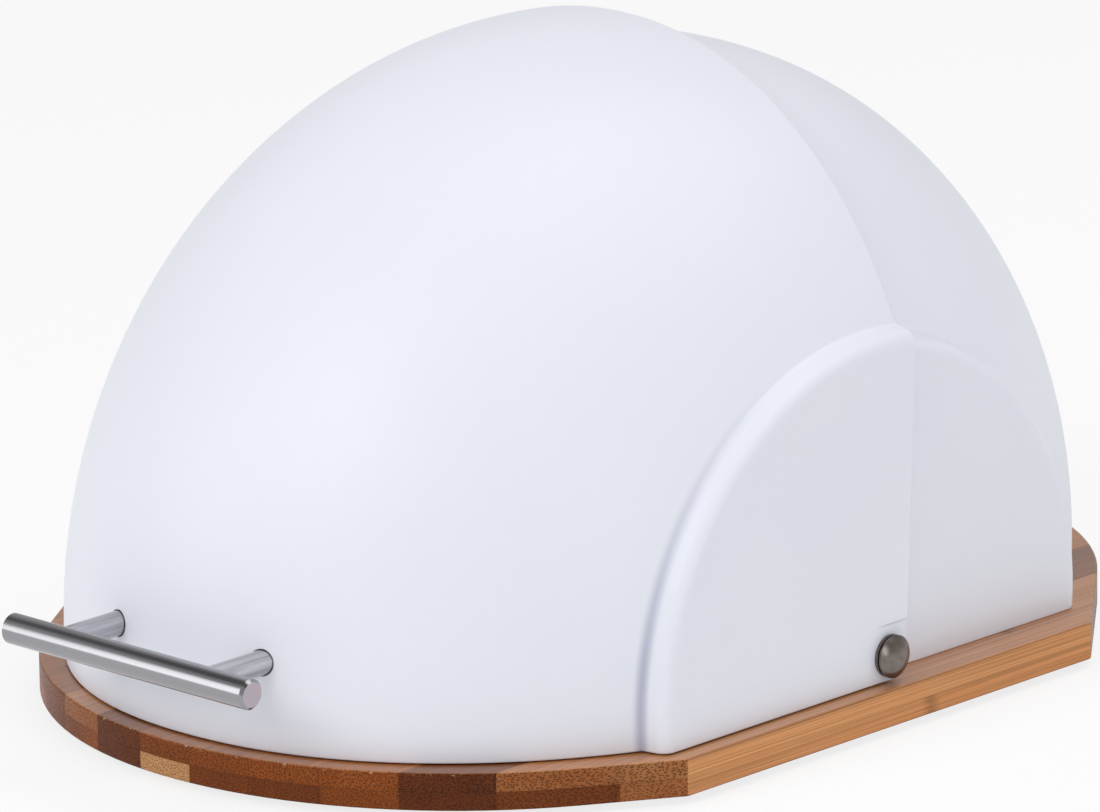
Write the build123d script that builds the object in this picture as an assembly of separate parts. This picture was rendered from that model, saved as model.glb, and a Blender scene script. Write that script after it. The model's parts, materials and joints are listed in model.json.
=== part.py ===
from build123d import *
import os
from math import copysign, cos, pi, radians, sin, sqrt, tan

# Dome bread box: a fixed rear shell screwed to a two-layer bamboo board, and a larger front lid
# that swings back over it on two rivets. Millimetres, +Z up, front towards -Y, and the origin at
# the bottom centre of the part's box, on the surface that the rubber feet stand on.

# Bamboo board, which stands out round the shells: straight sides, and an arc between two straight
# facets at each end
board_side_margin = 6.4
board_front_margin = 7.2
board_rear_margin = 4.6
board_front_end_depth = 93.7
board_rear_end_depth = 94.2
board_front_facet_angle = 57.0
board_rear_facet_angle = 51.0
board_layer_thickness = 6.2
board_corner_radius = 2.0
board_edge_radius = 0.8

# Rubber feet, set in from the board's straight sides and beyond their ends
foot_diameter = 14.0
foot_tip_diameter = 12.0
foot_height = 2.5
foot_side_inset = 32.5
foot_end_reach = 12.5

# Pivot axis above the board
pivot_height = 8.9
lid_rest_gap = 0.4

# Backward lean of the lid's rear edge, which then lies flat along the board when the lid is open
lid_lean = 2.8

# Moulded shells: domes about the pivot axis, between flat side panels that stand out of them
shell_wall = 2.4
dome_fullness = 2.12
dome_steps = 7
flank_start_share = 0.98
band_angle = 12.0
crease_fillet = 1.5
rim_fillet = 4.6
rim_inner_fillet = 2.4
shell_edge_radius = 0.6

# Front lid
lid_dome_radius = 187.3
lid_panel_half_width = 131.1
lid_panel_radius = 104.2
lid_panel_stand = 8.8

# Rear shell, stepped in from the lid
dome_gap = 4.9
panel_gap = 6.0
panel_radius_step = 3.8
rear_panel_stand = 12.6

# Relief on the lid's ear, which leaves a short slit above it
ear_slit_height = 10.2
ear_slit_length = 12.4
ear_slit_depth = 0.8

# Pivot rivets, turned in one piece with a shouldered barrel
pivot_barrel_diameter = 8.0
pivot_tail_diameter = 6.0
pivot_running_gap = 0.15
pivot_bore_clearance = 0.05
pivot_boss_diameter = 15.0
pivot_boss_edge = 1.0
rivet_diameter = 14.0
rivet_flange_thickness = 1.1
rivet_groove_diameter = 12.4
rivet_groove_width = 0.6
rivet_rim_thickness = 0.6
rivet_crown_height = 2.6
rivet_thread_depth = 8.0

# Pivot washers and screws
spacer_diameter = 14.0
spacer_thickness = 1.0
back_washer_diameter = 10.0
back_washer_thickness = 0.8
pivot_screw_diameter = 3.0
pivot_screw_length = 6.0
pivot_screw_head_diameter = 6.5
pivot_screw_head_height = 2.2

# Handle
bar_diameter = 10.0
bar_length = 108.0
bar_chamfer = 1.1
post_diameter = 8.0
post_spacing = 64.0
post_end_chamfer = 0.4
handle_rise = 20.1
handle_projection = 27.4
spigot_diameter = 5.0
spigot_length = 3.5
spigot_hole_spare = 0.4
seat_clearance = 0.4
seat_floor = 2.2
seat_pad_diameter = 15.0

# Handle screws and washers
handle_screw_diameter = 4.0
handle_screw_length = 14.0
handle_screw_head_diameter = 7.5
handle_screw_head_height = 1.5
handle_washer_diameter = 10.0
handle_washer_thickness = 0.5

# Screws that hold the rear shell to the board
shell_screw_diameter = 3.5
shell_screw_length = 20.0
shell_screw_head_diameter = 7.0
shell_screw_head_height = 2.2
shell_screw_sink = 0.6
shell_boss_diameter = 9.0
shell_boss_height = 13.0
shell_boss_overlap = 1.2
shell_boss_rear_x = 60.0
shell_boss_side_reach = 50.0

# Screw recesses, fits, the overrun of every cut, and how near a plane an edge of it lies
drive_diameter_share = 0.45
drive_depth_share = 0.55
thread_clearance = 0.05
hole_clearance = 0.2
cut_overrun = 5.0
plane_tolerance = 0.001

# Levels and places worked out from the sizes above
board_bottom = foot_height
board_middle = board_bottom + board_layer_thickness
board_top = board_middle + board_layer_thickness
pivot_z = board_top + pivot_height
ear_radius = pivot_height - lid_rest_gap
rear_front_reach = pivot_boss_diameter / 2 + pivot_boss_edge

rear_panel_half_width = lid_panel_half_width - shell_wall - panel_gap
pivot_boss_height = panel_gap - spacer_thickness - pivot_running_gap


class Dome:
    """A shell's section above the pivot axis, which lies along X, with the ring radius along Y.

    A sloping band stands out of each flank of the dome at a hollow crease, and turns over a
    rounded rim into the flat panel. The dome's curve is a full ellipse through both creases.
    """

    def __init__(self, radius, panel_half_width, panel_radius, panel_stand):
        self.radius = radius
        self.panel_half_width = panel_half_width
        self.panel_radius = panel_radius
        self.crease_x = panel_half_width - panel_stand
        crease_share = (panel_radius + panel_stand * tan(radians(band_angle))) / radius
        self.half_span = self.crease_x / (1 - crease_share**dome_fullness) ** (1 / dome_fullness)

    def normal(self, x):
        """Outward normal of the dome's curve."""
        along_share = abs(x) / self.half_span
        ring_share = self.ring(x) / self.radius
        normal_x = copysign(along_share ** (dome_fullness - 1) / self.half_span, x)
        normal_r = ring_share ** (dome_fullness - 1) / self.radius
        return Vector(normal_x, normal_r).normalized()

    def ring(self, x):
        """Radius of the dome's curve about the pivot axis."""
        along_share = abs(x) / self.half_span
        return self.radius * (1 - along_share**dome_fullness) ** (1 / dome_fullness)

    def point(self, x, inset):
        """Place on the dome's curve, set in along its normal."""
        return Vector(x, self.ring(x)) - self.normal(x) * inset

    def outline(self, inset, rim_radius):
        """Face between the pivot axis and the section, set in by the wall or not at all."""
        slope = radians(band_angle)
        rim_x = self.panel_half_width - inset
        rim_r = self.panel_radius - inset * tan(pi / 4 - slope / 2)

        flank_x = flank_start_share * self.crease_x
        shares = [sin(pi / 2 * step / dome_steps) for step in range(-dome_steps, dome_steps + 1)]
        points = [self.point(flank_x * share, inset) for share in shares]
        start = points[-1]
        normal = self.normal(flank_x)
        curve = Spline(*points, tangents=[(normal.Y, normal.X), (normal.Y, -normal.X)])
        end_x = rim_x - rim_fillet
        end_r = start.Y - (end_x - start.X) * normal.X / normal.Y
        flanks = Polyline(start, (end_x, end_r), (end_x, 0), (-end_x, 0), (-end_x, end_r), points[0])

        band_r = rim_r + (rim_x - start.X) * tan(slope)
        half_band = [(start.X, band_r), (rim_x, rim_r), (rim_x, 0)]
        other_half = [(-x, r) for x, r in reversed(half_band)]
        panels = Polyline(*half_band, *other_half, close=True)

        face = make_face([curve, *flanks.edges()]) + make_face(panels)
        face = fillet(self.corners(face)[2:4], crease_fillet + inset)
        return fillet(self.corners(face)[-2:], rim_radius)

    def corners(self, face):
        """Corners above the pivot axis, from the middle of the dome out to the panels."""
        above = face.vertices().filter_by(lambda corner: corner.Y > cut_overrun)
        return above.sort_by(lambda corner: abs(corner.X))

    def wall(self):
        """The moulded wall all round the pivot axis."""
        return self.turned(self.outline(0, rim_fillet) - self.outline(shell_wall, rim_inner_fillet))

    def space(self):
        """All that the wall's outer face encloses."""
        return self.turned(self.outline(0, rim_fillet))

    def turned(self, face):
        """The face turned once round the pivot axis, with its seam underneath."""
        return revolve(Plane.XZ * Rot(180, 0, 0) * face, axis=Axis.X)


lid_dome = Dome(lid_dome_radius, lid_panel_half_width, lid_panel_radius, lid_panel_stand)
rear_dome = Dome(
    lid_dome_radius - shell_wall - dome_gap,
    rear_panel_half_width,
    lid_panel_radius - panel_radius_step,
    rear_panel_stand,
)

post_radius = post_diameter / 2
post_x = post_spacing / 2
seat_radius = post_radius + seat_clearance
seat_reach = sqrt(lid_dome.ring(post_x + seat_radius) ** 2 - (handle_rise + seat_radius) ** 2)
bar_reach = seat_reach + handle_projection

board_half_width = lid_panel_half_width + board_side_margin
board_front_reach = lid_dome.radius + board_front_margin
board_rear_reach = rear_dome.radius + board_rear_margin
board_front_corner_reach = board_front_reach - board_front_end_depth
board_rear_corner_reach = board_rear_reach - board_rear_end_depth
foot_x = board_half_width - foot_side_inset
foot_reaches = (-board_front_corner_reach - foot_end_reach, board_rear_corner_reach + foot_end_reach)

front_reach = bar_reach + bar_diameter / 2
pivot_y = (front_reach - board_rear_reach) / 2
at_pivot = Pos(0, pivot_y, pivot_z)
sides = {"left": -1, "right": 1}


def side_prism(outline, half_width):
    """Solid with the outline drawn across Y and Z, from one side of the box to the other."""
    return extrude(Plane.YZ * outline, amount=half_width + cut_overrun, both=True)


def x_cylinder(diameter, start, end):
    """Cylinder on the pivot axis between two places along X."""
    return Pos((start + end) / 2, 0, 0) * Rot(0, 90, 0) * Cylinder(diameter / 2, abs(end - start))


def y_cylinder(diameter, x, z, start, end):
    """Cylinder along Y between two reaches in front of the pivot axis."""
    middle = Pos(x, -(start + end) / 2, z)
    return middle * Rot(90, 0, 0) * Cylinder(diameter / 2, abs(end - start))


def for_side(right_hand_part, side):
    """The right-hand piece, or its mirror image on the left."""
    if side > 0:
        return right_hand_part
    return mirror(right_hand_part, about=Plane.YZ)


def board_end(corner_reach, reach, facet_angle, direction):
    """Facet, arc and facet across one end of the board, in the pivot frame."""
    angle = radians(facet_angle)
    facet_distance = board_half_width * sin(angle) + corner_reach * cos(angle)
    radius = (facet_distance - reach * cos(angle)) / (1 - cos(angle))
    arc_x = radius * sin(angle)
    arc_y = direction * (reach - radius * (1 - cos(angle)))
    corner_y = direction * corner_reach
    return [
        Line((board_half_width, corner_y), (arc_x, arc_y)),
        ThreePointArc((arc_x, arc_y), (0, direction * reach), (-arc_x, arc_y)),
        Line((-arc_x, arc_y), (-board_half_width, corner_y)),
    ]


def board_outline():
    """Straight sides between the front and rear ends, in the pivot frame."""
    front = board_end(board_front_corner_reach, board_front_reach, board_front_facet_angle, -1)
    rear = board_end(board_rear_corner_reach, board_rear_reach, board_rear_facet_angle, 1)
    straights = [
        Line((x, -board_front_corner_reach), (x, board_rear_corner_reach))
        for x in (-board_half_width, board_half_width)
    ]
    face = make_face([*front, *rear, *straights])
    corners = face.vertices().sort_by(lambda corner: abs(corner.X))[-4:]
    return fillet(corners, board_corner_radius)


def shell_screw_places():
    """Rear bosses stand inside the dome, side bosses inside the panels, in the pivot frame."""
    inset = shell_wall + shell_boss_diameter / 2 - shell_boss_overlap
    rear = rear_dome.point(shell_boss_rear_x, inset)
    side_x = rear_panel_half_width - inset
    places = []
    for side in sides.values():
        places.append((side * rear.X, rear.Y))
        places.append((side * side_x, shell_boss_side_reach))
    return places


def board_layer(bottom, outer_face):
    """One glued layer of bamboo strips, drilled for the rear shell's screws."""
    layer = Pos(0, pivot_y, bottom) * extrude(board_outline(), amount=board_layer_thickness)
    rim = layer.faces().sort_by(Axis.Z)[outer_face].edges()
    layer = fillet(rim, board_edge_radius)
    hole_length = board_layer_thickness + 2 * cut_overrun
    hole_radius = shell_screw_diameter / 2 + hole_clearance
    for x, y in shell_screw_places():
        hole = Cylinder(hole_radius, hole_length)
        layer -= Pos(x, pivot_y + y, bottom + board_layer_thickness / 2) * hole
    return layer


def board_upper_layer():
    return board_layer(board_middle, -1)


def board_lower_layer():
    """The lower layer also has the countersinks."""
    layer = board_layer(board_bottom, 0)
    head_top = board_bottom + shell_screw_sink
    wide = shell_screw_head_diameter / 2 + hole_clearance
    narrow = shell_screw_diameter / 2 + hole_clearance
    cone = Cone(wide, narrow, shell_screw_head_height, align=(Align.CENTER, Align.CENTER, Align.MIN))
    mouth = Cylinder(wide, shell_screw_sink + cut_overrun, align=(Align.CENTER, Align.CENTER, Align.MAX))
    for x, y in shell_screw_places():
        layer -= Pos(x, pivot_y + y, head_top) * (cone + mouth)
    return layer


def board_feet():
    """Four round rubber feet under the board."""
    foot = Cone(
        foot_tip_diameter / 2,
        foot_diameter / 2,
        foot_height,
        align=(Align.CENTER, Align.CENTER, Align.MIN),
    )
    feet = []
    for side in sides.values():
        for reach in foot_reaches:
            feet.append(Pos(side * foot_x, pivot_y + reach, 0) * foot)
    return Compound(feet)


def shell_screws():
    """Countersunk screws, up through the board into the rear shell's bosses."""
    shank_length = shell_screw_length - shell_screw_head_height
    head = Cone(
        shell_screw_head_diameter / 2,
        shell_screw_diameter / 2,
        shell_screw_head_height,
        align=(Align.CENTER, Align.CENTER, Align.MIN),
    )
    shank = Pos(0, 0, shell_screw_head_height) * Cylinder(
        shell_screw_diameter / 2, shank_length, align=(Align.CENTER, Align.CENTER, Align.MIN)
    )
    drive = Cylinder(
        shell_screw_head_diameter * drive_diameter_share / 2,
        2 * shell_screw_head_height * drive_depth_share,
    )
    screw = head + shank - drive
    level = board_bottom + shell_screw_sink
    return Compound([Pos(x, pivot_y + y, level) * screw for x, y in shell_screw_places()])


def moulded(shell, *cut_planes):
    """The shell with its cut edges rounded, as they leave a mould."""
    edges = ShapeList()
    for plane in cut_planes:
        for edge in shell.edges():
            if all(plane.contains(edge @ share, plane_tolerance) for share in (0, 0.5, 1)):
                edges.append(edge)
    return fillet(edges, shell_edge_radius)


def rear_shell():
    """Fixed shell: the rear half of the smaller dome, with pivot bosses and screw bosses."""
    back = rear_dome.radius + cut_overrun
    depth = back + rear_front_reach
    height = back + pivot_height
    keep = Pos((back - rear_front_reach) / 2, (back - pivot_height) / 2) * Rectangle(depth, height)
    keep = side_prism(keep, rear_panel_half_width)

    foot_plane = Plane((0, 0, -pivot_height))
    front_plane = Plane((0, -rear_front_reach, 0), z_dir=(0, -1, 0))
    shell = moulded(rear_dome.wall() & keep, foot_plane, front_plane)
    boss = Cylinder(
        shell_boss_diameter / 2, shell_boss_height, align=(Align.CENTER, Align.CENTER, Align.MIN)
    )
    space = rear_dome.space()
    for x, y in shell_screw_places():
        shell += space & (Pos(x, y, -pivot_height) * boss)

    boss_face = rear_panel_half_width + pivot_boss_height
    for side in sides.values():
        inside = side * (rear_panel_half_width - shell_wall / 2)
        shell += x_cylinder(pivot_boss_diameter, inside, side * boss_face)
    bore = pivot_tail_diameter + 2 * pivot_bore_clearance
    shell -= x_cylinder(bore, -boss_face - cut_overrun, boss_face + cut_overrun)

    screw_tip = shell_screw_sink + shell_screw_length - 2 * board_layer_thickness
    pilot_depth = screw_tip + hole_clearance + cut_overrun
    pilot = Cylinder(shell_screw_diameter / 2 + thread_clearance, pilot_depth)
    pilot_middle = -pivot_height - cut_overrun + pilot_depth / 2
    for x, y in shell_screw_places():
        shell -= Pos(x, y, pilot_middle) * pilot
    return at_pivot * shell


def front_lid():
    """Swinging lid: the front half of the larger dome, down to two round ears on the rivets."""
    front = lid_dome.radius + cut_overrun
    lean = radians(lid_lean)
    foot_y = ear_radius * (1 - sin(lean)) / cos(lean)
    top_y = (ear_radius + front * sin(lean)) / cos(lean)
    corners = [(foot_y, -ear_radius), (top_y, front), (-front, front), (-front, -ear_radius)]
    keep = make_face(Polyline(*corners, close=True))
    ear_corner = keep.vertices().sort_by_distance(Vector(foot_y, -ear_radius))[0]
    keep = side_prism(fillet([ear_corner], ear_radius), lid_panel_half_width)

    pad_floor = seat_reach - seat_floor
    foot_plane = Plane((0, 0, -ear_radius))
    rear_plane = Plane((0, foot_y, -ear_radius), z_dir=(0, cos(lean), -sin(lean)))
    lid = moulded(lid_dome.wall() & keep, foot_plane, rear_plane)
    space = lid_dome.space()
    for side in sides.values():
        pad = y_cylinder(seat_pad_diameter, side * post_x, handle_rise, pad_floor, front)
        lid += space & pad

    hole = handle_screw_diameter + 2 * hole_clearance
    spot_face = handle_washer_diameter + 2 * hole_clearance
    for side in sides.values():
        x = side * post_x
        lid -= y_cylinder(2 * seat_radius, x, handle_rise, seat_reach, front)
        lid -= y_cylinder(hole, x, handle_rise, pad_floor - cut_overrun, front)
        lid -= y_cylinder(spot_face, x, handle_rise, pad_floor - cut_overrun, pad_floor)

    bore = pivot_barrel_diameter + 2 * pivot_bore_clearance
    beyond = lid_panel_half_width + cut_overrun
    lid -= x_cylinder(bore, -beyond, beyond)
    for side in sides.values():
        lid -= for_side(ear_relief(), side)
    return at_pivot * lid


def ear_relief():
    """Wedge that sinks the right-hand ear's face towards its rear edge."""
    face = lid_panel_half_width
    start = ear_radius - ear_slit_length
    slope = ear_slit_depth / ear_slit_length
    end = ear_radius + cut_overrun
    wedge = make_face(
        Polyline(
            (face, start),
            (face + cut_overrun, start),
            (face + cut_overrun, end),
            (face - slope * (end - start), end),
            close=True,
        )
    )
    height = ear_slit_height + ear_radius + cut_overrun
    return Pos(0, 0, ear_slit_height - height) * extrude(wedge, amount=height)


def pivot_rivet():
    """Right-hand rivet: domed cap over a groove and a flange, shouldered barrel, tapped tail."""
    face = lid_panel_half_width + pivot_running_gap
    shoulder = rear_panel_half_width + pivot_boss_height
    tail = rear_panel_half_width - shell_wall + thread_clearance
    flange_top = face + rivet_flange_thickness
    groove_top = flange_top + rivet_groove_width
    rim_top = groove_top + rivet_rim_thickness
    crown_top = rim_top + rivet_crown_height
    cap = rivet_diameter / 2
    crown_arc = (cap**2 + rivet_crown_height**2) / (2 * rivet_crown_height)
    mid_height = crown_top - crown_arc + sqrt(crown_arc**2 - (cap / 2) ** 2)
    outline = Polyline(
        (crown_top, 0),
        (tail, 0),
        (tail, pivot_tail_diameter / 2),
        (shoulder, pivot_tail_diameter / 2),
        (shoulder, pivot_barrel_diameter / 2),
        (face, pivot_barrel_diameter / 2),
        (face, cap),
        (flange_top, cap),
        (flange_top, rivet_groove_diameter / 2),
        (groove_top, rivet_groove_diameter / 2),
        (groove_top, cap),
        (rim_top, cap),
    )
    crown = ThreePointArc((rim_top, cap), (mid_height, cap / 2), (crown_top, 0))
    body = revolve(make_face([*outline.edges(), crown]), axis=Axis.X)
    thread = pivot_screw_diameter + 2 * thread_clearance
    return body - x_cylinder(thread, tail - cut_overrun, tail + rivet_thread_depth)


def pivot_spacer():
    """Right-hand nylon washer between the rear shell's boss and the lid's ear."""
    start = rear_panel_half_width + pivot_boss_height
    end = start + spacer_thickness
    bore = pivot_barrel_diameter + 2 * pivot_bore_clearance
    ring = x_cylinder(spacer_diameter, start, end)
    return ring - x_cylinder(bore, start - cut_overrun, end + cut_overrun)


def pivot_back_washer():
    """Right-hand steel washer inside the rear shell, under the pivot screw's head."""
    end = rear_panel_half_width - shell_wall
    start = end - back_washer_thickness
    bore = pivot_screw_diameter + 2 * hole_clearance
    ring = x_cylinder(back_washer_diameter, start, end)
    return ring - x_cylinder(bore, start - cut_overrun, end + cut_overrun)


def pivot_screw():
    """Right-hand screw from inside the box into the rivet's tail."""
    seat = rear_panel_half_width - shell_wall - back_washer_thickness
    head_end = seat - pivot_screw_head_height
    head = x_cylinder(pivot_screw_head_diameter, head_end, seat)
    shank = x_cylinder(pivot_screw_diameter, seat, seat + pivot_screw_length)
    drive_depth = pivot_screw_head_height * drive_depth_share
    drive_diameter = pivot_screw_head_diameter * drive_diameter_share
    return head + shank - x_cylinder(drive_diameter, head_end - cut_overrun, head_end + drive_depth)


def handle_bar():
    """Round bar with chamfered ends and a blind hole for each post's spigot."""
    half = bar_length / 2
    bar = x_cylinder(bar_diameter, -half, half)
    bar = chamfer(bar.edges().filter_by(GeomType.CIRCLE), bar_chamfer)
    bar = Pos(0, -bar_reach, handle_rise) * bar
    back = bar_reach - bar_diameter / 2
    hole_end = back + spigot_length + spigot_hole_spare
    hole = spigot_diameter + 2 * thread_clearance
    for side in sides.values():
        bar -= y_cylinder(hole, side * post_x, handle_rise, back - cut_overrun, hole_end)
    return at_pivot * bar


def handle_post():
    """Right-hand post: saddle end and spigot on the bar, flat end tapped for the lid's screw."""
    back = bar_reach - bar_diameter / 2
    post = y_cylinder(post_diameter, post_x, handle_rise, seat_reach, bar_reach)
    seat_edge = post.edges().filter_by(GeomType.CIRCLE).sort_by(Axis.Y)[-1]
    post = chamfer(seat_edge, post_end_chamfer)
    reach = post_spacing + post_diameter
    saddle = x_cylinder(bar_diameter + 2 * thread_clearance, -reach, reach)
    post -= Pos(0, -bar_reach, handle_rise) * saddle
    post += y_cylinder(
        spigot_diameter, post_x, handle_rise, back - post_radius, back + spigot_length
    )
    thread = handle_screw_diameter + 2 * thread_clearance
    thread_end = seat_reach + handle_screw_length - seat_floor - handle_washer_thickness
    return post - y_cylinder(
        thread, post_x, handle_rise, seat_reach - cut_overrun, thread_end + hole_clearance
    )


def handle_washer():
    """Right-hand washer on the lid's inner pad."""
    end = seat_reach - seat_floor
    start = end - handle_washer_thickness
    bore = handle_screw_diameter + 2 * hole_clearance
    ring = y_cylinder(handle_washer_diameter, post_x, handle_rise, start, end)
    return ring - y_cylinder(bore, post_x, handle_rise, start - cut_overrun, end + cut_overrun)


def handle_screw():
    """Right-hand pan-head screw, from inside the lid into the post."""
    seat = seat_reach - seat_floor - handle_washer_thickness
    head_end = seat - handle_screw_head_height
    head = y_cylinder(handle_screw_head_diameter, post_x, handle_rise, head_end, seat)
    shank = y_cylinder(handle_screw_diameter, post_x, handle_rise, seat, seat + handle_screw_length)
    drive_depth = handle_screw_head_height * drive_depth_share
    drive = y_cylinder(
        handle_screw_head_diameter * drive_diameter_share,
        post_x,
        handle_rise,
        head_end - cut_overrun,
        head_end + drive_depth,
    )
    return head + shank - drive


single_pieces = {
    "board_upper_layer": board_upper_layer,
    "board_lower_layer": board_lower_layer,
    "board_feet": board_feet,
    "rear_shell": rear_shell,
    "shell_screws": shell_screws,
    "front_lid": front_lid,
    "handle_bar": handle_bar,
}
paired_pieces = {
    "pivot_rivet": pivot_rivet,
    "pivot_spacer": pivot_spacer,
    "pivot_back_washer": pivot_back_washer,
    "pivot_screw": pivot_screw,
    "handle_post": handle_post,
    "handle_washer": handle_washer,
    "handle_screw": handle_screw,
}

os.makedirs("parts", exist_ok=True)
for name, make in single_pieces.items():
    export_step(make(), f"parts/{name}.step")
for name, make in paired_pieces.items():
    for side_name, side in sides.items():
        export_step(at_pivot * for_side(make(), side), f"parts/{name}_{side_name}.step")
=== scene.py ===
# %% [markdown]
# # A dome bread box on a bamboo board
# The box has a white front lid with a steel bar handle. The lid swings back on two rivets over a
# smaller rear shell, and both stand on a board of glued bamboo strips. The exact pieces come from
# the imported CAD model, which is loaded first and never moved. This lesson sets the camera, gives
# each piece the surface of its real material, and builds a plain studio round them.

# %% Load the frame
import json
import math

import bpy
from mathutils import Euler, Matrix, Vector


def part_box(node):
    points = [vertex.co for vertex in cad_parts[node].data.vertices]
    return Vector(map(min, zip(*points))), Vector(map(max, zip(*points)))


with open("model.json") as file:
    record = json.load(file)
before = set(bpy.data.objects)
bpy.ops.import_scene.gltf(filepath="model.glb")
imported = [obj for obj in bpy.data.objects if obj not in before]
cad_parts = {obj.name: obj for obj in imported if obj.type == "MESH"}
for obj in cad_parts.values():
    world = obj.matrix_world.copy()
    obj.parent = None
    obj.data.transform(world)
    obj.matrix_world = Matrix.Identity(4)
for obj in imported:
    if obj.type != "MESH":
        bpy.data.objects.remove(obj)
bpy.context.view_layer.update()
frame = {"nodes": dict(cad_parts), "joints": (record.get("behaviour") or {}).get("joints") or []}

mm = 0.001
scene = bpy.context.scene
nodes = frame["nodes"]
pivot = Vector(frame["joints"][0]["pos_m"])

# %% [markdown]
# ## Camera
# The photograph looks at the right front corner from a little above, through a long lens from
# more than three metres away, so that parallel edges stay nearly parallel. A camera could be set
# by eye. Here its place and angles were fitted to the edges of the board, the dome's outline and
# the handle. Blender's lens is the focal length in pixels, carried over to a sensor of a known
# width.

# %% Camera
photo_width_px = 1100
focal_length_px = 11000
sensor_width_mm = 36.0
camera_place = Vector((2367.60, -2468.10, 1062.68)) * mm
camera_yaw = math.radians(43.847)
camera_pitch = math.radians(-15.957)
camera_roll = math.radians(-0.825)

camera_data = bpy.data.cameras.new("photo_camera")
camera_data.sensor_fit = "HORIZONTAL"
camera_data.sensor_width = sensor_width_mm
camera_data.lens = sensor_width_mm * focal_length_px / photo_width_px
camera = bpy.data.objects.new("photo_camera", camera_data)
scene.collection.objects.link(camera)
aim = Euler((math.pi / 2 + camera_pitch, 0, camera_yaw)).to_matrix()
turn = aim @ Matrix.Rotation(camera_roll, 3, "Z")
camera.matrix_world = Matrix.Translation(camera_place) @ turn.to_4x4()
scene.camera = camera
camera_distance = (camera_place - pivot).length
print("lens", round(camera_data.lens, 1), "mm,", round(camera_distance, 2), "m from the pivot")

# %% [markdown]
# ## Colours and nodes
# A colour that we read as a hex code is meant for the screen, and a renderer adds light, so each
# code is turned into linear values once. A material is a small graph of nodes. One function adds
# a node with its settings and links, whatever its kind is, so that each graph below reads as a
# list of what it does. The others fill a node's inputs, start a material from its main shader,
# and give it to pieces of the model.

# %% Colours and nodes
def linear(hex_code):
    """Linear colour with full alpha from an sRGB hex code, by the standard's own curve."""
    shares = [int(hex_code[i : i + 2], 16) / 255 for i in (1, 3, 5)]
    values = [s / 12.92 if s <= 0.04045 else ((s + 0.055) / 1.055) ** 2.4 for s in shares]
    return (*values, 1.0)


def set_inputs(tree, node, inputs):
    """Gives each input a value, or a link from a socket or from a node's first live output."""
    for socket, value in inputs.items():
        if isinstance(value, bpy.types.Node):
            value = next(output for output in value.outputs if output.enabled)
        if isinstance(value, bpy.types.NodeSocket):
            tree.links.new(value, node.inputs[socket])
        else:
            node.inputs[socket].default_value = value


def add_node(tree, kind, inputs=None, stops=(), **settings):
    """A node with its settings and inputs, and with the stops of its ramp if it has one."""
    node = tree.nodes.new(kind)
    for name, value in settings.items():
        setattr(node, name, value)
    for index, (position, colour) in enumerate(stops):
        elements = node.color_ramp.elements
        if index == len(elements):
            elements.new(position)
        elements[index].position = position
        elements[index].color = colour
    set_inputs(tree, node, inputs or {})
    return node


def new_material(name, **shader_values):
    """A new material with its main shader: returns the material, its tree and the shader."""
    material = bpy.data.materials.new(name)
    material.use_nodes = True
    tree = material.node_tree
    shader = tree.nodes["Principled BSDF"]
    set_inputs(tree, shader, {key.replace("_", " "): value for key, value in shader_values.items()})
    return material, tree, shader


def finish_nodes(material, *names):
    """Gives CAD pieces their material."""
    for name in names:
        nodes[name].data.materials.clear()
        nodes[name].data.materials.append(material)
    print(material.name, "on", ", ".join(names))


print("screen grey #808080 is", round(linear("#808080")[0], 3), "in linear light")

# %% [markdown]
# ## Moulded plastic
# The shells are injection-moulded in a tool with a fine spark-eroded texture, which gives white
# ABS a satin face: highlights stay broad, and a close look shows a fine even grain. The white
# leans a little to blue. The grain could be an image, but a noise in space needs no unwrapping
# and has the same scale on both shells. It is drawn as a bump, a little coarser than the real
# grain so that it shows, and the same noise makes the gloss uneven.

# %% Satin white ABS
spark_grain = 0.7 * mm
grain_height = 0.05 * mm
grain_strength = 0.12
tool_wave = 60 * mm
satin_gloss = {"To Min": 0.36, "To Max": 0.5}

abs_white, tree, abs_shader = new_material("abs_satin_white", IOR=1.53, Specular_IOR_Level=0.27)
place = add_node(tree, "ShaderNodeTexCoord").outputs["Object"]
grain, wave = [
    add_node(tree, "ShaderNodeTexNoise", {"Vector": place, "Scale": 1 / size, "Detail": detail})
    for size, detail in ((spark_grain, 3.0), (tool_wave, 1.0))
]
tint = add_node(
    tree,
    "ShaderNodeMix",
    {"Factor": wave, "A": linear("#E8EBF5"), "B": linear("#ECEEF7")},
    data_type="RGBA",
)
gloss = add_node(tree, "ShaderNodeMapRange", {"Value": grain, **satin_gloss})
bump = add_node(
    tree,
    "ShaderNodeBump",
    {"Height": grain, "Strength": grain_strength, "Distance": grain_height},
)
set_inputs(tree, abs_shader, {"Roughness": gloss, "Normal": bump})
finish_nodes(abs_white, "front_lid", "rear_shell")

# %% [markdown]
# The crease round the lid's side panels gets painted shade: a soft bluish grey line, darkest low
# down. The crease is a circle about the hinge, so a point's reach to the side and its distance from
# the hinge tell how far it is from the crease. The painted line follows it and fades upwards. A
# thinner line of painted shadow lies along the short slit over each rivet. Both could be painted by
# hand, but measured from the hinge they are alike on both sides of the box.

# %% Painted shade in the crease and painted shadow in the slits
crease_reach = 122.3 * mm
crease_radius = 106.1 * mm
crease_shade_width = 3.4 * mm
crease_shade_foot = 40 * mm
crease_shade_top = 125 * mm
slit_height = 10.2 * mm
slit_front = 6 * mm
slit_width = 0.5 * mm
slit_reach = 130 * mm
crease = (crease_reach, crease_radius, 0)
across_hinge = (0, 1, 1)
smooth = {"interpolation_type": "SMOOTHSTEP"}
fading = {"To Min": 1.0, "To Max": 0.0}

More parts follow.
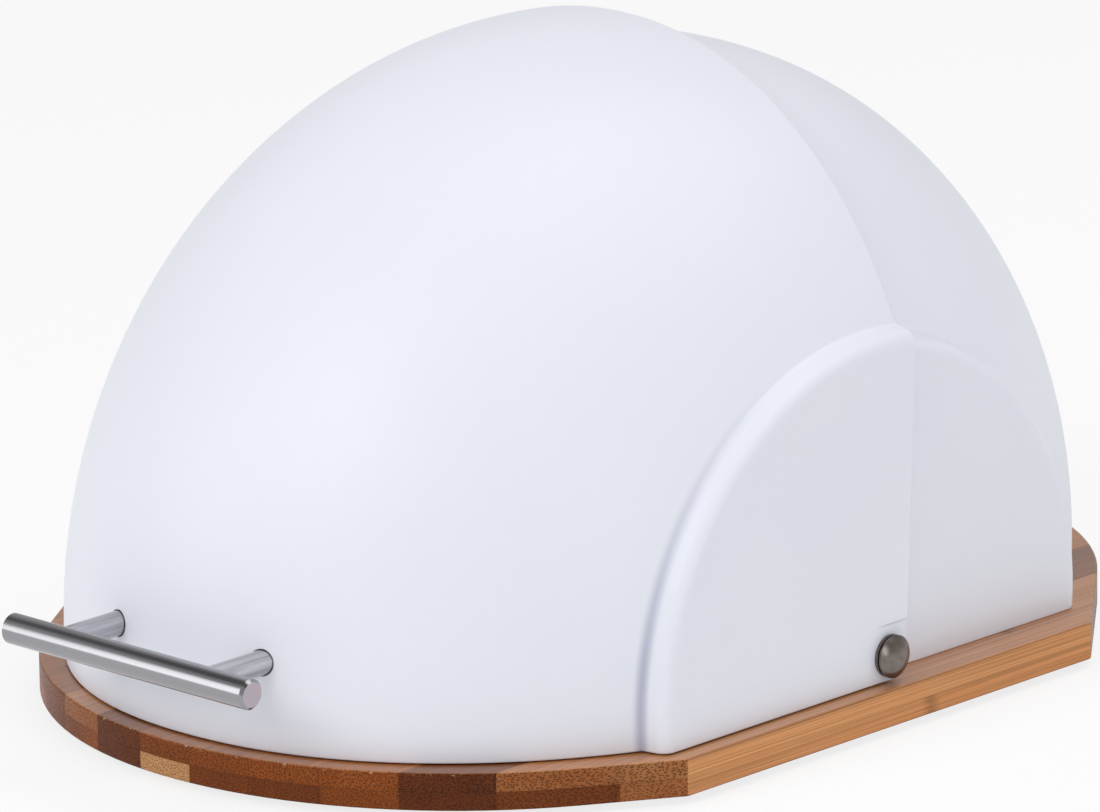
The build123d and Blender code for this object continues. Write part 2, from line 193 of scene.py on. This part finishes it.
split = add_node(tree, "ShaderNodeSeparateXYZ", {"Vector": place})
side_reach = add_node(tree, "ShaderNodeMath", {0: split.outputs["X"]}, operation="ABSOLUTE")
off_pivot = add_node(tree, "ShaderNodeVectorMath", {0: place, 1: pivot}, operation="SUBTRACT")
turning = add_node(
    tree, "ShaderNodeVectorMath", {0: off_pivot, 1: across_hinge}, operation="MULTIPLY"
)
swing_radius = add_node(tree, "ShaderNodeVectorMath", {0: turning}, operation="LENGTH")
section = add_node(tree, "ShaderNodeCombineXYZ", {"X": side_reach, "Y": swing_radius})
from_crease = add_node(tree, "ShaderNodeVectorMath", {0: section, 1: crease}, operation="DISTANCE")
over_slit = add_node(
    tree, "ShaderNodeMath", {0: split.outputs["Z"], 1: pivot.z + slit_height}, operation="SUBTRACT"
)
from_slit = add_node(tree, "ShaderNodeMath", {0: over_slit}, operation="ABSOLUTE")
in_crease, in_slit = [
    add_node(tree, "ShaderNodeMapRange", {"Value": away, "From Max": width, **fading}, **smooth)
    for away, width in ((from_crease, crease_shade_width), (from_slit, slit_width))
]
low_share = add_node(
    tree,
    "ShaderNodeMapRange",
    {"Value": split.outputs["Z"], "From Min": crease_shade_foot, "From Max": crease_shade_top, **fading},
)
past_front = add_node(
    tree,
    "ShaderNodeMapRange",
    {"Value": split.outputs["Y"], "From Min": pivot.y - slit_front, "From Max": pivot.y},
)
on_panel = add_node(
    tree, "ShaderNodeMath", {0: side_reach, 1: slit_reach}, operation="GREATER_THAN"
)
in_crease = add_node(tree, "ShaderNodeMath", {0: in_crease, 1: low_share}, operation="MULTIPLY")
for mask in (past_front, on_panel):
    in_slit = add_node(tree, "ShaderNodeMath", {0: in_slit, 1: mask}, operation="MULTIPLY")
painted_shade = add_node(tree, "ShaderNodeMath", {0: in_crease, 1: in_slit}, operation="MAXIMUM")
# painted shade and shadow: the crease and slit lines turn the white to a bluish grey
tint_with_painted_shade = add_node(
    tree,
    "ShaderNodeMix",
    {"Factor": painted_shade, "A": tint, "B": linear("#B9BCCF")},
    data_type="RGBA",
)
set_inputs(tree, abs_shader, {"Base Color": tint_with_painted_shade})
print("dust along a circle of", round(crease_radius / mm), "mm about the hinge")

# %% [markdown]
# ## Bamboo
# Bamboo is carbonised by steam, which browns it right through, then planed into strips about
# 23 mm wide and glued side by side in two layers. Its fibres run with the strips, from the front
# of the board to the back. Each strip could be a mesh of its own, but one solid pattern in space
# follows the exact board and runs through its edges as real grain does. A stepped ramp across the
# board gives each strip its own tone, and a second one says where its stem joint lies.

# %% Strips
strip_width = 22.85 * mm
last_seam = 124.7 * mm
strip_count = 13
strips_start = last_seam - (strip_count - 1) * strip_width
strips_end = strips_start + strip_count * strip_width
upper_tones = (0.4, 0.55, 0.3, 0.3, 0.6, 0.16, 0.36, 0.42, 0.48, 0.5, 0.1, 0.6, 0.66)
lower_tones = (0.35, 0.2, 0.5, 0.25, 0.5, 0.12, 0.95, 0.28, 0.24, 0.4, 0.12, 0.24, 0.6)
upper_joints = (0.3, 0.85, 0.6, 0.2, 0.45, 0.7, 0.95, 0.25, 0.8, 0.4, 0.9, 0.65, 0.02)
lower_joints = (0.7, 0.35, 0.9, 0.5, 0.15, 0.8, 0.4, 0.98, 0.6, 0.1, 0.75, 0.3, 0.543)


def strip_values(tree, split, tones, joints):
    """Place across the board, and each strip's tone and place of stem joint."""
    across = add_node(
        tree,
        "ShaderNodeMapRange",
        {"Value": split.outputs["X"], "From Min": strips_start, "From Max": strips_end},
    )
    tone, joint = [
        add_node(
            tree,
            "ShaderNodeValToRGB",
            {"Fac": across},
            [(i / strip_count, (share, share, share, 1.0)) for i, share in enumerate(shares)],
        )
        for shares in (tones, joints)
    ]
    for stepped in (tone, joint):
        stepped.color_ramp.interpolation = "CONSTANT"
    return across, tone, joint


print(strip_count, "strips of", round(strip_width / mm, 2), "mm")

# %% [markdown]
# Four patterns make the grain. A flat Voronoi over the board's cross-section gives the fibre
# bundles, drawn a little coarser than real ones so that they show at this distance. Two stretched
# noises give fine streaks and a slow drift of tone along each strip, and a small even noise gives
# the chips that wear leaves along the top edge.

# %% Grain of the strips
fibre_width = 0.75 * mm
streak_width = 0.42 * mm
streak_length = 150 * mm
drift_width = 9 * mm
drift_length = 90 * mm
chip_size = 2.2 * mm


def strip_grain(tree, own_place):
    """Fibre bundles seen end on, and the noises for streaks, drift and chips."""
    own_split = add_node(tree, "ShaderNodeSeparateXYZ", {"Vector": own_place})
    end_place = add_node(
        tree,
        "ShaderNodeCombineXYZ",
        {"X": own_split.outputs["X"], "Y": own_split.outputs["Z"]},
    )
    fibres = add_node(
        tree,
        "ShaderNodeTexVoronoi",
        {"Vector": end_place, "Scale": 1 / fibre_width},
        voronoi_dimensions="2D",
    )
    noises = []
    for width, length in (
        (streak_width, streak_length),
        (drift_width, drift_length),
        (chip_size, chip_size),
    ):
        stretched = add_node(
            tree,
            "ShaderNodeVectorMath",
            {0: own_place, 1: (1 / width, 1 / length, 1 / width)},
            operation="MULTIPLY",
        )
        noises.append(
            add_node(
                tree,
                "ShaderNodeTexNoise",
                {"Vector": stretched, "Scale": 1.0, "Detail": 4.0, "Roughness": 0.65},
            )
        )
    return fibres, *noises


print("fibres", round(fibre_width / mm, 2), "mm apart, streaks", round(streak_width / mm, 2), "mm")

# %% [markdown]
# Thin dark lines break the grain: the glue between two strips, the glue between the two layers,
# and the ring of a stem joint, which the streaks make uneven. Each is a distance that is turned
# into a shade, so that one loop draws all three.

# %% Glue lines and stem joints
seam_width = 0.3 * mm
half_strip = 0.5
seam_shade = 0.78
layer_shade = 0.86
joint_shade = 0.66
joint_half_width = 5 * mm
joint_first = -250 * mm
joint_range = 500 * mm
board_low, board_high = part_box("board_upper_layer")
seam_height = board_low.z


def with_lines(tree, shade, split, across, joint, streaks):
    """Darkens a shade along the glue lines and at each strip's stem joint."""
    strips = add_node(
        tree, "ShaderNodeMath", {0: across, 1: float(strip_count)}, operation="MULTIPLY"
    )
    from_seam = add_node(tree, "ShaderNodeMath", {0: strips, 1: half_strip}, operation="PINGPONG")
    over_layer = add_node(
        tree, "ShaderNodeMath", {0: split.outputs["Z"], 1: seam_height}, operation="SUBTRACT"
    )
    joint_place = add_node(
        tree,
        "ShaderNodeMath",
        {0: joint, 1: joint_range, 2: joint_first},
        operation="MULTIPLY_ADD",
    )
    joint_line = add_node(
        tree,
        "ShaderNodeMath",
        {0: streaks, 1: 2 * joint_half_width, 2: joint_place},
        operation="MULTIPLY_ADD",
    )
    past_joint = add_node(
        tree, "ShaderNodeMath", {0: split.outputs["Y"], 1: joint_line}, operation="SUBTRACT"
    )
    from_layer, from_joint = [
        add_node(tree, "ShaderNodeMath", {0: signed}, operation="ABSOLUTE")
        for signed in (over_layer, past_joint)
    ]
    for away, width, darkest in (
        (from_seam, seam_width / strip_width, seam_shade),
        (from_layer, 2 * seam_width, layer_shade),
        (from_joint, joint_half_width, joint_shade),
    ):
        line = add_node(
            tree,
            "ShaderNodeMapRange",
            {"Value": away, "From Max": width, "To Min": darkest},
            **smooth,
        )
        shade = add_node(tree, "ShaderNodeMath", {0: shade, 1: line}, operation="MULTIPLY")
    return shade


print("seams", round(seam_width / mm, 1), "mm, layers meet at", round(seam_height / mm, 1), "mm")

# %% [markdown]
# A face that looks to the front or back is cut across the fibres: it drinks the varnish, turns
# darker and shows dots. The sides show streaks. The planed top keeps its shine, and its colour lies
# between the two, darker than the sides as painted shade. The limits are shares of a face's normal
# along an axis, so that rounded corners pass softly from one kind to the next. The strip's tone,
# with its slow drift, picks a shade.

# %% Cut and planed faces
side_turn = (0.87, 0.97)
end_turn = (0.2, 0.5)
top_turn = (0.5, 0.9)
# painted shade: the top takes only this share of the paler long-face colour, so it is drawn darker
# than the sides
top_pale_share = 0.6
drift_depth = 0.13
cut_shades = ("#481E08", "#884618", "#BC8C5E")
long_shades = ("#8A522B", "#C68451", "#E6B07A")
# the inputs of a Map Range node in their order
range_sockets = ("Value", "From Min", "From Max", "To Min", "To Max")


def face_shares(tree, normal):
    """How far a face counts as a side, as a cut end and as the top."""
    facing = add_node(tree, "ShaderNodeSeparateXYZ", {"Vector": normal})
    to_side, to_end = [
        add_node(tree, "ShaderNodeMath", {0: facing.outputs[axis]}, operation="ABSOLUTE")
        for axis in "XY"
    ]
    to_top = facing.outputs["Z"]
    return [
        add_node(tree, "ShaderNodeMapRange", dict(zip(range_sockets, limits)), **smooth)
        for limits in ((to_side, *side_turn), (to_end, *end_turn), (to_top, *top_turn))
    ]


def strip_colour(tree, tone, drift, side_share, top_share):
    """Dark shades on cut faces and paler ones on long faces, picked by the drifting tone."""
    long_share = add_node(
        tree,
        "ShaderNodeMath",
        {0: top_share, 1: top_pale_share, 2: side_share},
        operation="MULTIPLY_ADD",
    )
    tone_drift = add_node(
        tree,
        "ShaderNodeMapRange",
        {"Value": drift, "To Min": -drift_depth, "To Max": drift_depth},
    )
    own_tone = add_node(tree, "ShaderNodeMath", {0: tone, 1: tone_drift}, operation="ADD")
    cut_colour, long_colour = [
        add_node(
            tree,
            "ShaderNodeValToRGB",
            {"Fac": own_tone},
            [(i / (len(shades) - 1), linear(shade)) for i, shade in enumerate(shades)],
        )
        for shades in (cut_shades, long_shades)
    ]
    return add_node(
        tree,
        "ShaderNodeMix",
        {"Factor": long_share, "A": cut_colour, "B": long_colour},
        data_type="RGBA",
    )


print("cut faces from", cut_shades[0], "to", cut_shades[-1])

# %% [markdown]
# Use chips the upper edge where it is cut across the fibres, and fresh pale wood shows there.
# Small spots of a noise, kept to the top millimetre of the cut faces, stand for these chips.

# %% Chipped edge
chip_depth = 1.1 * mm
chip_noise = (0.6, 0.68)
fresh_wood = "#D8B487"


def with_chips(tree, colour, split, chips, end_share):
    """Pale chips along the upper edge of the cut faces."""
    edge_limits = (split.outputs["Z"], board_high.z - chip_depth, board_high.z)
    near_edge, chip_share = [
        add_node(tree, "ShaderNodeMapRange", dict(zip(range_sockets, limits)), **smooth)
        for limits in (edge_limits, (chips, *chip_noise))
    ]
    for mask in (near_edge, end_share):
        chip_share = add_node(
            tree, "ShaderNodeMath", {0: chip_share, 1: mask}, operation="MULTIPLY"
        )
    return add_node(
        tree,
        "ShaderNodeMix",
        {"Factor": chip_share, "A": colour, "B": linear(fresh_wood)},
        data_type="RGBA",
    )


print("chips in the upper", round(chip_depth / mm, 1), "mm")

# %% [markdown]
# The steps now make one material for each layer. Every strip's pattern is shifted by its own
# amount, so that no grain runs on over a seam. A thin varnish lies over all: thick on the planed
# top, and mostly drunk by the cut faces, where the fibre ends also stand up a little.

# %% Carbonised bamboo
streak_noise = (0.38, 0.62)
streak_shades = (0.74, 1.14)
dot_reach = (0.15, 0.45)
dot_ground = 1.12
upper_dot_depth = 0.62
lower_dot_depth = 0.5
cut_varnish = 0.22
planed_varnish = 1.0
wood_gloss = {"From Max": 0.6, "To Min": 0.58, "To Max": 0.42}
fibre_strength = 0.3
fibre_height = 0.12 * mm


def bamboo(name, tones, joints, dot_depth):
    """Glued strips, each with its tone and place of stem joint, and dots of the given depth."""
    material, tree, shader = new_material(
        name, IOR=1.5, Specular_IOR_Level=0.05, Coat_IOR=1.45, Coat_Roughness=0.16
    )
    frame_of = add_node(tree, "ShaderNodeTexCoord")
    place = frame_of.outputs["Object"]
    split = add_node(tree, "ShaderNodeSeparateXYZ", {"Vector": place})
    across, tone, joint = strip_values(tree, split, tones, joints)
    strip_shift = add_node(tree, "ShaderNodeCombineXYZ", {"Z": joint})
    own_place = add_node(tree, "ShaderNodeVectorMath", {0: place, 1: strip_shift}, operation="ADD")
    fibres, streaks, drift, chips = strip_grain(tree, own_place)
    side_share, end_share, top_share = face_shares(tree, frame_of.outputs["Normal"])
    ground = strip_colour(tree, tone, drift, side_share, top_share)

    streak_shade, dot_shade = [
        add_node(tree, "ShaderNodeMapRange", dict(zip(range_sockets, limits)), **smooth)
        for limits in (
            (streaks, *streak_noise, *streak_shades),
            (fibres, *dot_reach, 1 - dot_depth, dot_ground),
        )
    ]
    shade = add_node(
        tree,
        "ShaderNodeMix",
        {"Factor": end_share, "A": streak_shade, "B": dot_shade},
        data_type="FLOAT",
    )
    shade = with_lines(tree, shade, split, across, joint, streaks)
    shaded = add_node(tree, "ShaderNodeVectorMath", {0: ground, "Scale": shade}, operation="SCALE")
    worn = with_chips(tree, shaded, split, chips, end_share)

    gloss = add_node(tree, "ShaderNodeMapRange", {"Value": fibres, **wood_gloss})
    varnish = add_node(
        tree,
        "ShaderNodeMapRange",
        {"Value": top_share, "To Min": cut_varnish, "To Max": planed_varnish},
    )
    relief = add_node(tree, "ShaderNodeMath", {0: fibres, 1: end_share}, operation="MULTIPLY")
    bump = add_node(
        tree,
        "ShaderNodeBump",
        {"Height": relief, "Strength": fibre_strength, "Distance": fibre_height},
    )
    set_inputs(
        tree,
        shader,
        {"Base Color": worn, "Roughness": gloss, "Coat Weight": varnish, "Normal": bump},
    )
    return material


upper_bamboo = bamboo("bamboo_upper_strips", upper_tones, upper_joints, upper_dot_depth)
lower_bamboo = bamboo("bamboo_lower_strips", lower_tones, lower_joints, lower_dot_depth)
finish_nodes(upper_bamboo, "board_upper_layer")
finish_nodes(lower_bamboo, "board_lower_layer")

# %% [markdown]
# ## Brushed steel
# The handle is stainless steel. The bar was ground while it turned, so its fine scratches run
# round it and smear reflections along it, and its sawn ends are dull and a little warm. The posts
# are drawn bar; their faint light and dark lines along them are painted reflections in the colour.
# Scratches could be an anisotropic gloss, but the exported model loses that. A noise that is short
# across them and long along them stands for them in gloss and bump, and both kinds are drawn
# coarser than real ones so that they show.

# %% Ground bar
scratch_width = 0.25 * mm
scratch_length = 8 * mm
scratch_height = 0.004 * mm
scratch_strength = 0.1
bar_gloss = {"To Min": 0.14, "To Max": 0.24}
sawn_roughness = 0.6
sawn_depth = 0.1 * mm
bar_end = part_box("handle_bar")[1].x


def brushed_steel(name, scratch_size, gloss_range):
    """Stainless steel with scratches of the given sizes along X, Y and Z, and their gloss."""
    material, tree, shader = new_material(name, Metallic=1.0)
    place = add_node(tree, "ShaderNodeTexCoord").outputs["Object"]
    stretched = add_node(
        tree,
        "ShaderNodeVectorMath",
        {0: place, 1: [1 / size for size in scratch_size]},
        operation="MULTIPLY",
    )
    scratches = add_node(
        tree,
        "ShaderNodeTexNoise",
        {"Vector": stretched, "Scale": 1.0, "Detail": 4.0, "Roughness": 0.6},
    )
    gloss = add_node(tree, "ShaderNodeMapRange", {"Value": scratches, **gloss_range})
    bump = add_node(
        tree,
        "ShaderNodeBump",
        {"Height": scratches, "Strength": scratch_strength, "Distance": scratch_height},
    )
    set_inputs(tree, shader, {"Roughness": gloss, "Normal": bump})
    return material, tree, shader, place, scratches, gloss


bar_scratches = (scratch_width, scratch_length, scratch_length)
bar_steel, tree, shader, place, _, gloss = brushed_steel(
    "steel_ground_bar", bar_scratches, bar_gloss
)
split = add_node(tree, "ShaderNodeSeparateXYZ", {"Vector": place})
from_middle = add_node(tree, "ShaderNodeMath", {0: split.outputs["X"]}, operation="ABSOLUTE")
sawn = add_node(
    tree, "ShaderNodeMath", {0: from_middle, 1: bar_end - sawn_depth}, operation="GREATER_THAN"
)
colour = add_node(
    tree,
    "ShaderNodeMix",
    {"Factor": sawn, "A": linear("#9C9B9F"), "B": linear("#C8BEC6")},
    data_type="RGBA",
)
dulled = add_node(
    tree, "ShaderNodeMix", {"Factor": sawn, "A": gloss, "B": sawn_roughness}, data_type="FLOAT"
)
set_inputs(tree, shader, {"Base Color": colour, "Roughness": dulled})
finish_nodes(bar_steel, "handle_bar")

# %% Posts with painted reflections
post_streak_width = 1.6 * mm
post_streak_length = 60 * mm
post_gloss = {"To Min": 0.1, "To Max": 0.22}

post_streak_sizes = (post_streak_width, post_streak_length, post_streak_width)
post_steel, tree, shader, _, lines, _ = brushed_steel("steel_post_painted_reflections", post_streak_sizes, post_gloss)
# painted reflections: near-black to near-white streaks along the posts in the base colour
colour = add_node(
    tree,
    "ShaderNodeMix",
    {"Factor": lines, "A": linear("#4A494E"), "B": linear("#FAF9FC")},
    data_type="RGBA",
)
set_inputs(tree, shader, {"Base Color": colour})
finish_nodes(post_steel, "handle_post_left", "handle_post_right")

# %% [markdown]
# ## Plated rivets, screws, washers and feet
# The rivets have a dark nickel plate, polished but handled, so their gloss is a little uneven.
# The screws and washers are zinc plated, which is duller and bluer. The spacers are natural
# nylon, and the feet are plain black rubber. Each could have a graph of its own, but they differ
# only in two colours, a cloud size and a range of gloss, so one function makes all four.

# %% Small fittings
plate_cloud = 2.5 * mm
rubber_grain = 0.6 * mm


def plain_finish(name, shades, size, gloss_range, **shader_values):
    """A finish whose colour and gloss drift between two values over a given size."""
    material, tree, shader = new_material(name, **shader_values)
    place = add_node(tree, "ShaderNodeTexCoord").outputs["Object"]
    cloud = add_node(
        tree, "ShaderNodeTexNoise", {"Vector": place, "Scale": 1 / size, "Detail": 4.0}
    )
    low, high = shades
    colour = add_node(
        tree,
        "ShaderNodeMix",
        {"Factor": cloud, "A": linear(low), "B": linear(high)},
        data_type="RGBA",
    )
    rough_low, rough_high = gloss_range
    gloss = add_node(
        tree,
        "ShaderNodeMapRange",
        {"Value": cloud, "To Min": rough_low, "To Max": rough_high},
    )
    set_inputs(tree, shader, {"Base Color": colour, "Roughness": gloss})
    return material


nickel = plain_finish(
    "nickel_dark_plate", ("#605956", "#8E847E"), plate_cloud, (0.22, 0.34), Metallic=1.0
)
zinc = plain_finish("zinc_plate", ("#B4B8BE", "#C9CCD0"), plate_cloud, (0.3, 0.45), Metallic=1.0)
nylon = plain_finish("nylon_natural", ("#DEDBD2", "#E6E3DB"), plate_cloud, (0.4, 0.5), IOR=1.53)
rubber = plain_finish("rubber_black", ("#1B1B1C", "#262627"), rubber_grain, (0.7, 0.85), IOR=1.52)
finish_nodes(nickel, "pivot_rivet_left", "pivot_rivet_right")
finish_nodes(
    zinc,
    "shell_screws",
    "pivot_screw_left",
    "pivot_screw_right",
    "handle_screw_left",
    "handle_screw_right",
    "pivot_back_washer_left",
    "pivot_back_washer_right",
    "handle_washer_left",
    "handle_washer_right",
)
finish_nodes(nylon, "pivot_spacer_left", "pivot_spacer_right")
finish_nodes(rubber, "board_feet")

# %% [markdown]
# ## Studio
# The photograph has a white ground and soft light from all round, strongest from above and the
# front. A large floor takes the shadow. More light would whiten it but would also bleach the box,
# so for the camera and for mirrors it is lifted to white by a share of its own light, which adds
# none to the matt pieces.

# %% Floor
floor_size = 14.0
floor_drop = 0.1 * mm
floor_glow_share = 0.8

reach = floor_size / 2
corner_signs = ((-1, -1), (1, -1), (1, 1), (-1, 1))
floor_corners = [(x * reach, y * reach, -floor_drop) for x, y in corner_signs]
floor_mesh = bpy.data.meshes.new("studio_floor")
floor_mesh.from_pydata(floor_corners, [], [(0, 1, 2, 3)])
floor = bpy.data.objects.new("studio_floor", floor_mesh)
scene.collection.objects.link(floor)

paper, tree, shader = new_material("studio_paper", Base_Color=linear("#F8F8F8"), Roughness=0.9)
path = add_node(tree, "ShaderNodeLightPath")
seen = path.outputs["Is Camera Ray"]
for ray in ("Is Glossy Ray", "Is Transmission Ray"):
    seen = add_node(tree, "ShaderNodeMath", {0: seen, 1: path.outputs[ray]}, operation="MAXIMUM")
glow_share = add_node(
    tree, "ShaderNodeMath", {0: seen, 1: floor_glow_share}, operation="MULTIPLY"
)
glow = add_node(tree, "ShaderNodeEmission", {"Color": (1, 1, 1, 1), "Strength": 1.0})
lifted = add_node(tree, "ShaderNodeMixShader", {"Fac": glow_share, 1: shader, 2: glow})
set_inputs(tree, tree.nodes["Material Output"], {"Surface": lifted})
floor.data.materials.append(paper)
print("floor", floor_size, "m wide, lifted by", floor_glow_share)

# %% [markdown]
# A metal bar shows its shape by what it mirrors, so the sky isn't one even white: it is light at
# the horizon, has a dark belt high up, and is dim overhead. The stops give each height, from 0 at
# the horizon to 1 overhead, its share of light.

# %% Sky
sky_strength = 0.57
sky_stops = (
    (0.0, 1.0),
    (0.3, 1.0),
    (0.5, 0.9),
    (0.66, 0.88),
    (0.71, 0.16),
    (0.78, 0.16),
    (0.84, 0.5),
    (1.0, 0.5),
)

world = bpy.data.worlds.new("studio_sky")
scene.world = world
world.use_nodes = True
tree = world.node_tree
direction = add_node(tree, "ShaderNodeTexCoord").outputs["Generated"]
height = add_node(tree, "ShaderNodeSeparateXYZ", {"Vector": direction})
sky = add_node(
    tree,
    "ShaderNodeValToRGB",
    {"Fac": height.outputs["Z"]},
    [(position, (share, share, share, 1.0)) for position, share in sky_stops],
)
set_inputs(tree, tree.nodes["Background"], {"Color": sky, "Strength": sky_strength})
print("sky in", len(sky_stops), "steps of height")

# %% [markdown]
# Four soft boxes do the rest. A wide one overhead makes up for the dim sky there. One at the
# front lights the dome and the edges that face it, an upright strip at the left gives the bar its
# bright band, and one at the right gives the rivet its highlight.

# %% Lamps
lamp_target = pivot + Vector((0, 0, 80 * mm))


def soft_lamp(name, place, width, height, watts):
    """Soft box of the given width and height that faces the middle of the dome."""
    data = bpy.data.lights.new(name, "AREA")
    data.shape = "RECTANGLE"
    data.size = width
    data.size_y = height
    data.energy = watts
    lamp = bpy.data.objects.new(name, data)
    scene.collection.objects.link(lamp)
    facing = (lamp_target - Vector(place)).to_track_quat("-Z", "Y")
    lamp.matrix_world = Matrix.Translation(place) @ facing.to_matrix().to_4x4()
    print(name, watts, "W at", place)


soft_lamp("box_overhead", (0.4, 0.5, 1.8), 1.6, 1.6, 15.5)
soft_lamp("box_front", (-0.2, -1.6, 1.3), 1.0, 1.0, 12)
soft_lamp("strip_low_left", (-1.3, -1.62, 0.66), 0.5, 1.25, 4.6)
soft_lamp("strip_right", (1.9, -0.5, 0.62), 0.45, 1.1, 4.4)
scene.view_settings.view_transform = "Standard"
